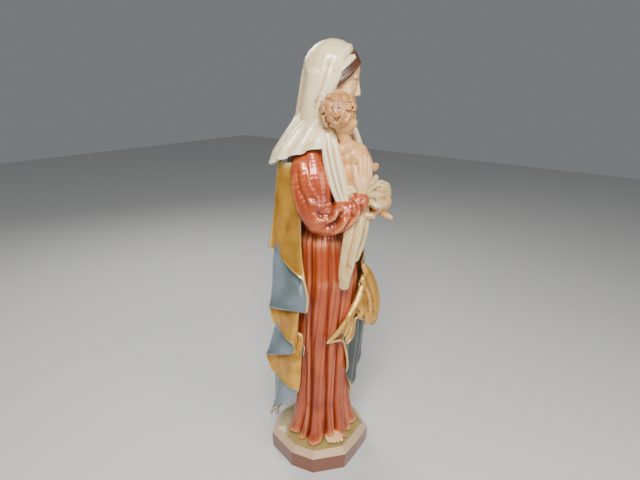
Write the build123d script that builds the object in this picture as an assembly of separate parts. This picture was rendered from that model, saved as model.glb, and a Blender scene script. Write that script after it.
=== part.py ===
from build123d import *
from math import cos, pi, radians, sin
import os

# A carved and painted wooden madonna with child, 600 mm tall, in millimetres.
# +Z is up, -Y is the way her body faces, +X is her left. The origin is the
# middle of the plinth's underside. The figure is pieced from glued and dowelled
# blocks of limewood, and each block is one solid.

# Driving dimensions
TOTAL_HEIGHT = 600.0
PLINTH_HEIGHT = 38.0
PLINTH_WALL = 25.0
BEVEL_TOP = 33.0
WAIST = 350.0
SHOULDER = 466.0
NECK_TOP = 482.0
SKIRT_FOLDS = 13
SKIRT_FOLD_POINTS = 4
GLUE_LINE = 0.4
CLOTH = 3.4
CASCADE_TOP = 344.0
DOWEL_RADIUS = 4.0
PEG_RADIUS = 2.0
SCREW_RADIUS = 2.5
SCREW_HEAD_RADIUS = 5.0
SCREW_LENGTH = 62.0
SCREW_SPACING = 44.0
SCREW_SINK = 8.0
RELIEF_BORE_RADIUS = 13.0
RELIEF_BORE_TOP = 250.0

# Corners of the plinth: direction from its middle in degrees, and distance
PLINTH_CORNERS = [
    (135, 77), (178, 71), (-154, 72), (-113, 69), (-84, 63),
    (-52, 74), (-15, 77), (24, 79), (62, 78), (98, 77),
]

# The trunk's outlines: height, middle Y, half width, half depth, depth of the folds
SKIRT_OUTLINES = [
    (28, -2, 51, 43, 0.04), (52, -3, 48, 41.5, 0.05), (95, -4, 45, 40, 0.055),
    (190, -6, 43, 40, 0.05), (290, -6, 41, 38, 0.045), (WAIST, -3, 39, 34, 0.03),
]
BODICE_OUTLINES = [
    (WAIST, -3, 39, 33, 0), (400, 0, 41, 31, 0), (440, 3, 46, 29, 0),
    (SHOULDER, 6, 44, 25, 0), (NECK_TOP, 6, 20, 17, 0),
]

# The head and the hood of the veil round it
HEAD = Vector(3, -7, 552)
HEAD_SIZE = (27, 33, 41)
HEAD_TURN = 35.0
HAIR = Vector(0, -2, 556)
HAIR_SIZE = (30.5, 37, 41)
HOOD_SIZE = (36, 41, 49)

# The arms
RIGHT_SHOULDER, RIGHT_WRIST = (-46, 6, 458), (-15, -61, 409)
LEFT_SHOULDER, LEFT_WRIST = (46, 6, 458), (32, -44, 380)

# The child
CHILD_HEAD = Vector(-30, -37, 510)
CHILD_HIPS, CHILD_CHEST, CHILD_NECK = (-12, -43, 412), (-15, -42, 455), (-20, -40, 486)
ACROSS_LIMBS = (0.45, 0.89, 0)
UPRIGHT = (0, 0, 1)
FRONT_BACK = (0.15, 1, 0)


def fluted(z, middle, half_x, half_y, depth):
    """An elliptical outline at height z, waved by upright folds."""
    points = []
    for i in range(SKIRT_FOLD_POINTS * SKIRT_FOLDS):
        angle = 2 * pi * i / (SKIRT_FOLD_POINTS * SKIRT_FOLDS)
        swell = 1 + depth * cos(SKIRT_FOLDS * angle)
        x = middle[0] + half_x * swell * cos(angle)
        y = middle[1] + half_y * swell * sin(angle)
        points.append(Vector(x, y, z))
    return Wire([Edge.make_spline(points, periodic=True)])


def oval(z, middle, half_x, half_y):
    """A plain elliptical outline at height z."""
    return (Plane(origin=(*middle, z)) * Ellipse(half_x, half_y)).wire()


def draped(*outlines):
    """A smooth solid through outlines, from the lowest to the highest."""
    return Part() + Solid.make_loft(list(outlines))


def limb(points, radii, flatness=1.0, flat_way=(1, 0, 0)):
    """A smooth tapering limb along points, with flatness as its thickness over its width."""
    places = [Vector(*p) for p in points]
    outlines = []
    for i, place in enumerate(places):
        before = places[max(i - 1, 0)]
        after = places[min(i + 1, len(places) - 1)]
        along = (after - before).normalized()
        side = along.cross(Vector(*flat_way)).normalized()
        plane = Plane(origin=place, x_dir=side, z_dir=along)
        outlines.append((plane * Ellipse(radii[i], radii[i] * flatness)).wire())
    return draped(*outlines)


def egg(middle, sizes, turn=0.0, tip=0.0):
    """An ellipsoid with the given half sizes, turned about Z and tipped about X."""
    return Pos(*middle) * Rot(0, 0, turn) * Rot(tip, 0, 0) * scale(Sphere(1), by=sizes)


def round_bar(start, end, radius):
    """A straight round bar from start to end."""
    base, top = Vector(*start), Vector(*end)
    along = top - base
    plane = Plane(origin=base, z_dir=along.normalized())
    return Part() + Solid.make_cylinder(radius, along.length, plane)


def prism(corners, low, high, across):
    """A prism with a polygon outline: corners are (X, Z) if across is "Y", or (Y, Z) if "X"."""
    if across == "Y":
        plane = Plane(origin=(0, high, 0), x_dir=(1, 0, 0), z_dir=(0, -1, 0))
    else:
        plane = Plane(origin=(low, 0, 0), x_dir=(0, 1, 0), z_dir=(1, 0, 0))
    return extrude(plane * make_face(Polyline(*corners, close=True)), high - low)


def boxes_meet(one, other):
    a, b = one.bounding_box(), other.bounding_box()
    return all(
        low < high
        for low, high in [
            (a.min.X, b.max.X), (b.min.X, a.max.X), (a.min.Y, b.max.Y),
            (b.min.Y, a.max.Y), (a.min.Z, b.max.Z), (b.min.Z, a.max.Z),
        ]
    )


def without(shape, others):
    """The shape cut back from its neighbours, keeping its largest piece."""
    left = shape
    for other in others:
        for solid in other.solids():
            if boxes_meet(left, solid):
                left = Part() + max((left - solid).solids(), key=lambda s: s.volume)
    return left


def plinth_outline(z, inset):
    corners = [
        Vector((r - inset) * cos(radians(a)), (r - inset) * sin(radians(a)), z)
        for a, r in PLINTH_CORNERS
    ]
    return Wire.make_polygon(corners, close=True)


def screw_places():
    return [(-SCREW_SPACING / 2, 4), (SCREW_SPACING / 2, 4)]


def make_plinth():
    """A faceted block: upright sides, a bevel, and a ground that rises to the middle."""
    levels = [(0, 1.5), (PLINTH_WALL, 0), (BEVEL_TOP, 9), (PLINTH_HEIGHT, 30)]
    block = Part() + Solid.make_loft([plinth_outline(z, i) for z, i in levels], ruled=True)
    for x, y in screw_places():
        block -= round_bar((x, y, -1), (x, y, SCREW_SINK), SCREW_HEAD_RADIUS + 1)
    return block


def make_screws():
    """The countersunk wood screws that hold the figure from below."""
    screws = Part()
    for x, y in screw_places():
        screws += round_bar((x, y, SCREW_SINK), (x, y, SCREW_SINK + SCREW_LENGTH), SCREW_RADIUS)
        screws += Pos(x, y, SCREW_SINK + 1.5) * Cone(SCREW_HEAD_RADIUS, SCREW_RADIUS, 3)
    return screws


def make_fixings():
    """The screws, dowels and pegs, which every block is drilled for."""
    return {
        "plinth_screws": make_screws(),
        "plinth_dowel": round_bar((0, -22, 18), (0, -22, 66), DOWEL_RADIUS),
        "waist_dowel": round_bar((0, -2, WAIST - 30), (0, -2, WAIST + 30), DOWEL_RADIUS + 2),
        "neck_dowel": round_bar((0, 4, NECK_TOP - 34), (1.5, -1, 512), DOWEL_RADIUS),
        "right_wrist_peg": round_bar((-22, -52, 400), (-14, -66, 424), PEG_RADIUS),
        "left_wrist_peg": round_bar((40, -36, 378), (22, -54, 381), PEG_RADIUS),
        "child_neck_peg": round_bar((-16, -42, 472), (-24, -39, 500), PEG_RADIUS),
        "child_seat_peg": round_bar((10, -57, 384), (7, -50, 408), PEG_RADIUS),
    }


def make_skirt():
    """The long tunic skirt, fluted by upright folds and spread at the hem."""
    outlines = [fluted(z, (0, y), w, d, f) for z, y, w, d, f in SKIRT_OUTLINES]
    return draped(*outlines) - round_bar((0, 4, 20), (0, 4, RELIEF_BORE_TOP), RELIEF_BORE_RADIUS)


def make_bodice():
    """The chest and shoulders above the waist."""
    return draped(*[oval(z, (0, y), w, d) for z, y, w, d, _ in BODICE_OUTLINES])


def make_room(outlines):
    """The space that a block of the trunk takes up, folds and glue line included."""
    return draped(*[
        oval(z, (0, y), w * (1 + f) + GLUE_LINE, d * (1 + f) + GLUE_LINE)
        for z, y, w, d, f in outlines
    ])


def make_arms():
    """The sleeves, and the hands that are pegged into them."""
    return {
        "right_sleeve_upper": limb([RIGHT_SHOULDER, (-49, -1, 430), (-49, -11, 398), (-44, -16, 372)],
                                   [17, 19, 18.5, 15]),
        "right_sleeve_fore": limb([(-45, -14, 377), (-34, -38, 383), (-22, -53, 397), RIGHT_WRIST],
                                  [16, 17, 15, 11.5]),
        "left_sleeve_upper": limb([LEFT_SHOULDER, (52, -1, 430), (55, -7, 398), (54, -9, 370)],
                                  [17, 18.5, 18, 15]),
        "left_sleeve_fore": limb([(55, -6, 372), (48, -26, 370), (38, -37, 375), LEFT_WRIST],
                                 [16, 16, 14, 11]),
        "right_hand": limb([RIGHT_WRIST, (-14, -66, 424), (-14, -68, 440), (-13, -66, 455), (-12, -64, 467)],
                           [6.5, 9, 11, 10, 6], 0.42, FRONT_BACK),
        "left_hand": limb([LEFT_WRIST, (22, -54, 381), (10, -61, 384), (0, -64, 388)],
                          [6.5, 10, 10, 7], 0.42, UPRIGHT),
    }


def make_head_blocks():
    """The neck, the head, and the hair with its face side cut away."""
    face_side = Pos(*HEAD) * Rot(0, 0, HEAD_TURN) * Rot(18, 0, 0) * Pos(0, -50, -22) * Box(90, 76, 84)
    return {
        "neck": limb([(0, 4, NECK_TOP - 10), (1, 0, 500), (2, -3, 528)], [15, 13.5, 13.5]),
        "head": egg(HEAD, HEAD_SIZE, HEAD_TURN),
        "hair": egg(HAIR, HAIR_SIZE, HEAD_TURN) - face_side,
    }


def make_child():
    """The child, seated on her left hand in a wrapped cloth with a hanging tail."""
    return {
        "child_torso": limb([CHILD_HIPS, (-13, -43, 432), CHILD_CHEST, (-18, -41, 474), CHILD_NECK],
                            [16, 15.5, 18, 14, 8.5], 0.78, (0.35, -0.94, 0)),
        "child_head": egg(CHILD_HEAD, (21.5, 23, 25), 40),
        "cloth_wrap": limb([(-22, -40, 409), (-6, -47, 410), (12, -55, 411), (30, -66, 412)],
                           [17, 19, 18, 12], 0.86, UPRIGHT),
        "child_right_leg": limb([(33, -73, 408), (34, -74, 397), (31, -71, 389), (28, -68, 382)],
                                [6.5, 6, 5, 4.5], 1, ACROSS_LIMBS),
        "child_left_leg": limb([(40, -58, 408), (42, -58, 397), (40, -57, 389), (39, -55, 383)],
                               [6.5, 6, 5, 4.5], 1, ACROSS_LIMBS),
        "child_right_arm": limb([(-13, -57, 473), (-5, -66, 460), (4, -72, 448), (20, -68, 438)],
                                [7, 6.5, 5.5, 4], 1, ACROSS_LIMBS),
        "child_left_arm": limb([(-10, -32, 473), (2, -36, 462), (14, -37, 462), (22, -36, 470)],
                               [6.5, 5.5, 5, 4], 1, ACROSS_LIMBS),
        "cloth_tail": limb([(-18, -50, 392), (-22, -50, 360), (-24, -50, 325), (-25, -49, 290)],
                           [15, 13, 9, 6], 0.42, (0.75, 0.66, 0)),
    }


def make_veil_hood():
    """The veil round the head, open in front of the face and hollow for the hair."""
    outer = egg((-4, 0, TOTAL_HEIGHT - HOOD_SIZE[2]), HOOD_SIZE, HEAD_TURN)
    opening = Pos(*HEAD) * Rot(0, 0, HEAD_TURN) * Pos(0, -46, -8) * Box(90, 62, 78)
    below = Pos(0, 0, 470) * Box(200, 200, 80)
    room = tuple(half + GLUE_LINE for half in HAIR_SIZE)
    return outer - opening - below - egg(HAIR, room, HEAD_TURN)


def make_veil_cape():
    """The veil over the shoulders, with a point at the back."""
    outer = draped(
        oval(430, (-4, 22), 66, 48),
        oval(462, (-3, 16), 59, 43),
        oval(488, (-2, 10), 44, 34),
        oval(510, (-2, 6), 31, 31),
        oval(522, (-3, 4), 29, 31),
    )
    hem = prism([(-80, 470), (-6, 462), (30, 458), (90, 430), (90, 540), (-80, 540)], -90, 90, "X")
    front = Pos(0, -52, 480) * Box(44, 80, 120)
    return (outer & hem) - front


def make_veil():
    """The veil: its hood, its cape, and the two strips that fall down her breast."""
    return {
        "veil_hood": make_veil_hood(),
        "veil_cape": make_veil_cape(),
        "veil_right_fall": limb([(-27, -18, 496), (-32, -28, 470), (-31, -36, 440), (-27, -42, 412)],
                                [8, 10, 11, 9], 0.55, FRONT_BACK),
        "veil_left_fall": limb([(27, -14, 494), (31, -24, 470), (29, -31, 445), (24, -35, 424)],
                               [8, 10, 11, 8], 0.55, FRONT_BACK),
    }


def make_mantle_back():
    """The mantle over her back and both sides, open at the front."""
    outer = draped(
        oval(58, (-2, 14), 62, 52),
        oval(150, (-2, 14), 62, 50),
        oval(250, (-2, 13), 60, 50),
        oval(350, (-2, 13), 60, 48),
        oval(430, (-2, 12), 57, 42),
        oval(462, (0, 10), 50, 34),
    )
    front = Pos(0, -61, 260) * Box(200, 118, 460)
    cascade_seat = Pos(-68, 14, 195) * Box(43, 72, 300)
    return outer - front - cascade_seat


def make_right_cascade():
    """The mantle's right front edge, pleated in layers that end lower towards the body."""
    pleats = [(-63, 40), (-58.6, 0), (-54.2, 47), (-49.8, 0)]
    spine = Wire(FilletPolyline(*pleats, radius=1.9).edges())
    band = make_face(spine.offset_2d(CLOTH / 2, kind=Kind.ARC))
    layers = Part()
    for x_outer, x_inner, z_low in [(-66, -59.5, 262), (-59.5, -53, 160), (-53, -46, 70)]:
        middle = ((x_outer + x_inner) / 2, 24, (z_low + CASCADE_TOP) / 2)
        layers += Pos(*middle) * Box(x_inner - x_outer, 60, CASCADE_TOP - z_low)
    return extrude(Pos(0, 0, 60) * band, CASCADE_TOP - 60) & layers


def make_front_panel():
    """The mantle drawn across the front from her left, ending in a point."""
    outer = draped(
        oval(78, (4, -6), 54, 51),
        oval(190, (2, -9), 51, 50),
        oval(312, (2, -9), 47, 47),
    )
    outline = [(24, 306), (-34, 206), (-28, 180), (-8, 104), (14, 84), (80, 84), (80, 306)]
    return outer & prism(outline, -90, 0, "Y")


def make_turned_edge():
    """The gilded edge of the front panel, turned over in two lobes."""
    outer = draped(
        oval(170, (6, -13), 53, 53),
        oval(240, (8, -15), 50, 53),
        oval(314, (4, -12), 46, 47),
    )
    outline = [(24, 306), (-32, 212), (-30, 196), (-14, 178), (4, 200), (36, 206), (52, 226), (44, 306)]
    return outer & prism(outline, -90, -6, "Y")


def carve():
    """Every piece by name, each cut back from the pieces before it."""
    fixings = make_fixings()
    plinth = make_plinth()
    pieces = dict(fixings)
    pieces["plinth"] = without(plinth, fixings.values())
    pieces["tunic_skirt"] = without(make_skirt(), [*fixings.values(), plinth])
    pieces["tunic_bodice"] = without(make_bodice(), fixings.values())
    foot = limb([(-18, -24, 43), (-22, -38, 44), (-27, -52, 41)], [7, 9.5, 7], 0.6, UPRIGHT)
    blanks = {
        "right_foot": foot,
        **make_head_blocks(),
        **make_arms(),
        **make_child(),
        **make_veil(),
        "mantle_back": make_mantle_back(),
        "mantle_front_panel": make_front_panel(),
        "mantle_turned_edge": make_turned_edge(),
        "mantle_right_cascade": make_right_cascade(),
    }
    placed = [*fixings.values(), plinth, make_room(SKIRT_OUTLINES), make_room(BODICE_OUTLINES)]
    for name, blank in blanks.items():
        pieces[name] = without(blank, placed)
        placed.append(pieces[name])
    return pieces


def main():
    os.makedirs("parts", exist_ok=True)
    for name, shape in carve().items():
        export_step(shape, f"parts/{name}.step")


main()
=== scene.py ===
import math
import bpy
import numpy as np
from mathutils import Euler, Matrix, Vector


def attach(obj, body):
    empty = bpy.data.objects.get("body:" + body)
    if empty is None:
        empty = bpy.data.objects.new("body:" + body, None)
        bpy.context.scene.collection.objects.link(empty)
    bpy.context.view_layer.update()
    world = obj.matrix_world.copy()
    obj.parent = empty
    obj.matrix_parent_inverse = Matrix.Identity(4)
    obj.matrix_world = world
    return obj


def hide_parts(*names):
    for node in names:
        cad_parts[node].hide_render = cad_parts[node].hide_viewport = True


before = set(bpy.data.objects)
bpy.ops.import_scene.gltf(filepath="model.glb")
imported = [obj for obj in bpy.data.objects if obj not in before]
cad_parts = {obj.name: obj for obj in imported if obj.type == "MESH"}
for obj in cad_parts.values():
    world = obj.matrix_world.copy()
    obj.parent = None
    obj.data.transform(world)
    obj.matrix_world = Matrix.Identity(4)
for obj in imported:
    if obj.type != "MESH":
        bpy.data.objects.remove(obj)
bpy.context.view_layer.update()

mm = 0.001  # every place and size below is in millimetres
scene = bpy.context.scene


# ---- small tools ----

def deselectAll():
    bpy.ops.object.select_all(action="DESELECT")


def makeActive(piece):
    deselectAll()
    piece.select_set(True)
    bpy.context.view_layer.objects.active = piece


def applyModifiers(piece):
    makeActive(piece)
    for modifier in list(piece.modifiers):
        bpy.ops.object.modifier_apply(modifier=modifier.name)


def addModifier(piece, kind, **settings):
    modifier = piece.modifiers.new(kind.title(), kind)
    for key, value in settings.items():
        setattr(modifier, key, value)
    return modifier


def easePath(points, steps):  # a smooth curve through points, which may carry a radius as a fourth value
    p = np.array(points, float)
    if len(p) == 2:
        t = np.linspace(0, 1, steps)[:, None]
        return p[0] * (1 - t) + p[1] * t
    ends = np.vstack([2 * p[0] - p[1], p, 2 * p[-1] - p[-2]])
    out = []
    for t in np.linspace(0, len(p) - 1, steps):
        i = min(int(t), len(p) - 2)
        f = t - i
        a, b, c, d = ends[i:i + 4]
        bend = (2 * a - 5 * b + 4 * c - d) * f ** 2 + (3 * b - a - 3 * c + d) * f ** 3
        out.append(0.5 * (2 * b + (c - a) * f + bend))
    return np.array(out)


def localFrame(origin, turn=0):  # x across, y ahead, z up, turned towards her left
    spin = Matrix.Rotation(math.radians(turn), 4, "Z") @ Matrix.Rotation(math.pi, 4, "Z")
    return Matrix.Translation(origin) @ spin


deselectAll()
bpy.ops.mesh.primitive_uv_sphere_add(segments=20, ring_count=12, radius=1)
pellet = bpy.context.object  # the lump of clay that every modelled piece is built up from


def pressPellet(centre, radii, turn, where):
    lump = pellet.copy()
    lump.data = pellet.data.copy()
    size = Matrix.Diagonal((*radii, 1))
    spin = Euler([math.radians(a) for a in turn]).to_matrix().to_4x4()
    lump.matrix_world = Matrix.Scale(mm, 4) @ where @ Matrix.Translation(centre) @ spin @ size
    scene.collection.objects.link(lump)
    return lump


def rollLimbs(limbs, where):  # each point is x, y, z, radius, and a limb may be flattened along a direction
    lumps = []
    for limb in limbs:
        points, flat, way = limb if isinstance(limb, tuple) else (limb, 1, (0, 0, 1))
        length = sum(math.dist(a[:3], b[:3]) for a, b in zip(points, points[1:]))
        steps = max(4, int(length / (0.33 * min(p[3] for p in points))) + 1)
        turn = [math.degrees(a) for a in Vector(way).to_track_quat("Z", "Y").to_euler()]
        for x, y, z, r in easePath(points, steps):
            lumps.append(pressPellet((x, y, z), (r, r, r * flat), turn, where))
    return lumps


def joinLumps(lumps):
    deselectAll()
    for lump in lumps:
        lump.select_set(True)
    bpy.context.view_layer.objects.active = lumps[0]
    bpy.ops.object.join()
    bpy.ops.object.transform_apply(location=True, rotation=True, scale=True)
    return bpy.context.object


def foldRelief(angle, widths):  # uneven round folds meeting in sharp valleys: 0 in a valley, 1 on a ridge
    edges = np.cumsum(widths) / sum(widths) * 2 * math.pi
    around = np.mod(angle, 2 * math.pi)
    which = np.minimum(np.searchsorted(edges, around), len(widths) - 1)
    half = np.array(widths)[which] / sum(widths) * math.pi
    off = np.abs(around - (edges[which] - half)) / half
    return (1 - off ** 2.2) * (0.4 + 0.6 * np.array(widths)[which] / max(widths))


def modelClay(name, balls=(), limbs=(), voxel=1.0, rounds=6, where=Matrix.Identity(4), cut=None, after=()):
    lumps = [pressPellet(b[0], b[1], b[2] if len(b) > 2 else (0, 0, 0), where) for b in balls]
    piece = joinLumps(lumps + rollLimbs(limbs, where))
    piece.name = piece.data.name = name
    if cut:  # a flat saw cut: a point on it and the side that is taken off
        addModifier(piece, "REMESH", mode="VOXEL", voxel_size=voxel * mm)
        applyModifiers(piece)
        for spot, side in cut:
            bpy.ops.object.mode_set(mode="EDIT")
            bpy.ops.mesh.select_all(action="SELECT")
            bpy.ops.mesh.bisect(plane_co=(where @ Vector(spot)) * mm, plane_no=where.to_3x3() @ Vector(side),
                                use_fill=True, clear_outer=True)
            bpy.ops.object.mode_set(mode="OBJECT")
    if after:  # clay added once the cut is made
        joinLumps([piece] + rollLimbs(after, where))
    addModifier(piece, "REMESH", mode="VOXEL", voxel_size=voxel * mm)
    addModifier(piece, "SMOOTH", factor=0.5, iterations=rounds)
    applyModifiers(piece)
    return piece


def readPoints(piece):
    co = np.empty(len(piece.data.vertices) * 3)
    piece.data.vertices.foreach_get("co", co)
    normals = np.empty(len(piece.data.vertices) * 3)
    piece.data.vertex_normals.foreach_get("vector", normals)
    return co.reshape(-1, 3) / mm, normals.reshape(-1, 3)


def writePoints(piece, co):
    piece.data.vertices.foreach_set("co", (co * mm).ravel())
    piece.data.update()


def gouge(piece, strokes, where=None):  # each stroke: points, width, height (below 0 is a groove)
    for points, width, height in strokes:
        co, normals = readPoints(piece)
        length = sum(math.dist(a, b) for a, b in zip(points, points[1:]))
        line = easePath(points, max(8, int(length / (0.3 * width))))
        if where is not None:
            line = np.array([where @ Vector(p) for p in line])
        ends = np.minimum(1, np.minimum(np.arange(len(line)),
            np.arange(len(line))[::-1]) / (0.22 * len(line)) + 0.15)
        near = np.abs(co - line.mean(axis=0)).max(axis=1) < np.ptp(line, axis=0).max() + 4 * width
        idx = np.nonzero(near)[0]
        gap = np.linalg.norm(co[idx][:, None] - line[None], axis=2)
        snapped = co[idx][gap.argmin(axis=0)]
        gap = np.linalg.norm(co[idx][:, None] - snapped[None], axis=2)
        closest = gap.argmin(axis=1)
        fall = np.exp(-(gap[np.arange(len(idx)), closest] / width) ** 2) * ends[closest] * height
        co[idx] += normals[idx] * fall[:, None]
        writePoints(piece, co)


def relax(piece, rounds=2):
    addModifier(piece, "SMOOTH", factor=0.5, iterations=rounds)
    applyModifiers(piece)


def markHollows(piece, reach=14, depth=1.6):  # 0.5 is flat, above it is a hollow, below it a ridge
    co, normals = readPoints(piece)
    edges = np.empty(len(piece.data.edges) * 2, int)
    piece.data.edges.foreach_get("vertices", edges)
    a, b = edges[0::2], edges[1::2]
    count = np.bincount(a, minlength=len(co)) + np.bincount(b, minlength=len(co))
    soft = co.copy()
    for _ in range(reach):
        total = np.zeros_like(soft)
        for axis in range(3):
            total[:, axis] = np.bincount(a, soft[b, axis], len(co)) + np.bincount(b, soft[a, axis], len(co))
        soft = total / np.maximum(count, 1)[:, None]
    sink = ((soft - co) * normals).sum(axis=1)
    layer = piece.data.attributes.new("hollow", "FLOAT", "POINT")
    layer.data.foreach_set("value", np.clip(0.5 + 0.5 * sink / depth, 0, 1).astype(np.float32))


def hangSheet(name, shape, across, down, wall):  # shape(u, v) gives places; wall goes inwards
    u, v = np.meshgrid(np.linspace(0, 1, across), np.linspace(0, 1, down), indexing="ij")
    co = np.stack(shape(u.ravel(), v.ravel()), axis=1)
    faces = []
    for i in range(across - 1):
        for j in range(down - 1):
            k = i + 1
            faces.append((i * down + j, k * down + j, k * down + j + 1, i * down + j + 1))
    mesh = bpy.data.meshes.new(name)
    mesh.from_pydata((co * mm).tolist(), [], faces)
    piece = bpy.data.objects.new(name, mesh)
    scene.collection.objects.link(piece)
    if wall:
        addModifier(piece, "SOLIDIFY", thickness=wall * mm, offset=-1, use_even_offset=False, use_rim=True,
                    material_offset=1, material_offset_rim=2)
    return piece


def finishPiece(piece, materials, slot, *nodes, reach=14, depth=1.6):
    piece.data.materials.clear()
    for material in materials:
        piece.data.materials.append(material)
    applyModifiers(piece)
    markHollows(piece, reach, depth)
    makeActive(piece)
    bpy.ops.object.shade_smooth()
    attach(piece, "root")
    if nodes:
        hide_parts(*nodes)
    print("made", piece.name, len(piece.data.polygons))
    return piece


# ---- paints and gilding ----

def fromHex(code):
    channels = [int(code[i:i + 2], 16) / 255 for i in (1, 3, 5)]
    return (*[c / 12.92 if c <= 0.04045 else ((c + 0.055) / 1.055) ** 2.4 for c in channels], 1)


def addNode(tree, kind, settings=None, links=None):
    node = tree.nodes.new(kind)
    for key, value in (settings or {}).items():
        if hasattr(node, key):
            setattr(node, key, value)
        else:
            node.inputs[key].default_value = value
    for key, source in (links or {}).items():
        tree.links.new(source, node.inputs[key])
    return node


def mixPaint(tree, amount, under, over):
    node = addNode(tree, "ShaderNodeMix", {"data_type": "RGBA"})
    for socket, value in ((node.inputs[0], amount), (node.inputs[6], under), (node.inputs[7], over)):
        if hasattr(value, "links"):
            tree.links.new(value, socket)
        else:
            socket.default_value = value
    return node.outputs[2]


def paintWood(name, look):  # paint or leaf on limewood; its ridges are lightened, which is rubbed wear with a painted highlight, and its hollows are darkened with brown, which is glaze with painted shade
    material = bpy.data.materials.new(name)
    material.use_nodes = True
    tree = material.node_tree
    tree.nodes.clear()
    place = addNode(tree, "ShaderNodeTexCoord").outputs["Object"]
    hollow = addNode(tree, "ShaderNodeAttribute", {"attribute_name": "hollow"}).outputs["Fac"]
    cloud = addNode(tree, "ShaderNodeTexNoise", {"Scale": 1 / (look["cloud"] * mm), "Detail": 4.0},
        {"Vector": place})
    # painted shade with brown glaze: the hollows are darkened towards the brown colour, the more the deeper
    # they are
    washAndShade = addNode(tree, "ShaderNodeMapRange",
        {"From Min": look.get("washAndShadeFrom", 0.52), "From Max": look.get("washAndShadeTo", 0.85)},
                   {"Value": hollow}).outputs[0]
    # painted highlight with rubbed wear: the ridges are lightened towards the ridge colour
    rubAndHighlight = addNode(tree, "ShaderNodeMapRange", {"From Min": 0.46, "From Max": look.get("rubAndHighlightTo", 0.12)},
                  {"Value": hollow}).outputs[0]
    shade = addNode(tree, "ShaderNodeMapRange", {"From Min": 0.35, "From Max": 0.68},
        {"Value": cloud.outputs["Fac"]}).outputs[0]
    colour = mixPaint(tree, shade, fromHex(look["ground"]), fromHex(look["second"]))
    # ridges lightened as painted highlight and rubbed wear, then hollows darkened as painted shade and brown
    # glaze
    colour = mixPaint(tree, rubAndHighlight, colour, fromHex(look["ridge"]))
    colour = mixPaint(tree, washAndShade, colour, fromHex(look["washAndShade"]))
    tall = addNode(tree, "ShaderNodeMapping", {"Scale": (1, 1, 0.22)}, {"Vector": place})
    streak = addNode(tree, "ShaderNodeTexNoise", {"Scale": 1 / (9 * mm), "Detail": 3.0, "Distortion": 0.6},
        {"Vector": tall.outputs[0]})
    stain = addNode(tree, "ShaderNodeMapRange",
        {"From Min": 0.52, "From Max": 0.78, "To Max": look.get("stain", 0.35)},
                    {"Value": streak.outputs["Fac"]}).outputs[0]
    colour = mixPaint(tree, stain, colour, fromHex(look["washAndShade"]))
    if "pattern" in look:
        colour = look["pattern"](tree, place, colour)
    brush = addNode(tree, "ShaderNodeTexNoise", {"Scale": 1 / (look.get("brush", 1.6) * mm), "Detail": 3.0},
        {"Vector": place})
    height = brush.outputs["Fac"]
    if "relief" in look:
        height = look["relief"](tree, place, height)
    bump = addNode(tree, "ShaderNodeBump", {"Strength": look.get("bump", 0.12), "Distance": 0.4 * mm},
        {"Height": height})
    gloss = addNode(tree, "ShaderNodeMapRange",
        {"To Min": look["rough"] - 0.06, "To Max": look["rough"] + 0.1},
                    {"Value": cloud.outputs["Fac"]}).outputs[0]
    shader = addNode(tree, "ShaderNodeBsdfPrincipled",
                     {"Metallic": look.get("metal", 0.0), "Coat Weight": look.get("coat", 0.5),
                     "Coat Roughness": 0.12},
                     {"Base Color": colour, "Roughness": gloss, "Normal": bump.outputs[0]})
    if look.get("skin"):
        shader.inputs["Subsurface Weight"].default_value = 0.08
        shader.inputs["Subsurface Radius"].default_value = (0.004, 0.002, 0.001)
        shader.inputs["Subsurface Scale"].default_value = 1
    addNode(tree, "ShaderNodeOutputMaterial", None, {"Surface": shader.outputs[0]})
    return material


def weaveLines(tree, place):  # gouged cross-hatching on the child's cloth, lines 4.2 mm apart
    ways = []
    for angle in (38, -38):
        spun = addNode(tree, "ShaderNodeMapping", {"Rotation": (0, math.radians(angle), 0.6)},
            {"Vector": place})
        ways.append(addNode(tree, "ShaderNodeTexWave", {"Scale": 0.31 / (4.2 * mm), "Distortion": 1.2},
                            {"Vector": spun.outputs[0]}).outputs["Fac"])
    return addNode(tree, "ShaderNodeMath", {"operation": "MINIMUM"}, {0: ways[0], 1: ways[1]}).outputs[0]


def weaveRelief(tree, place, height):
    return addNode(tree, "ShaderNodeMath", {"operation": "ADD"},
        {0: height, 1: weaveLines(tree, place)}).outputs[0]


def weavePattern(tree, place, colour):  # brown wash lying in the gouged lines
    groove = addNode(tree, "ShaderNodeMapRange", {"From Min": 0.16, "From Max": 0.0, "To Max": 0.42},
                     {"Value": weaveLines(tree, place)}).outputs[0]
    return mixPaint(tree, groove, colour, fromHex("#8a6430"))


def hairRelief(tree, place, height):  # fine comb lines about 0.8 mm apart
    lines = addNode(tree, "ShaderNodeTexNoise", {"Scale": 1 / (1.1 * mm), "Detail": 2.0, "Distortion": 1.2},
        {"Vector": place})
    return addNode(tree, "ShaderNodeMath", {"operation": "ADD"},
        {0: height, 1: lines.outputs["Fac"]}).outputs[0]


def plinthFacets(tree, place, colour):  # ground on top, pale bevel, red-brown sides, by their steepness
    facing = addNode(tree, "ShaderNodeNewGeometry").outputs["Normal"]
    up = addNode(tree, "ShaderNodeSeparateXYZ", None, {0: facing}).outputs["Z"]
    bevel = addNode(tree, "ShaderNodeMapRange", {"From Min": 0.93, "From Max": 0.90},
        {"Value": up}).outputs[0]
    side = addNode(tree, "ShaderNodeMapRange", {"From Min": 0.45, "From Max": 0.40},
        {"Value": up}).outputs[0]
    colour = mixPaint(tree, bevel, colour, fromHex("#c9a684"))
    return mixPaint(tree, side, colour, fromHex("#7a4a34"))
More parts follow.
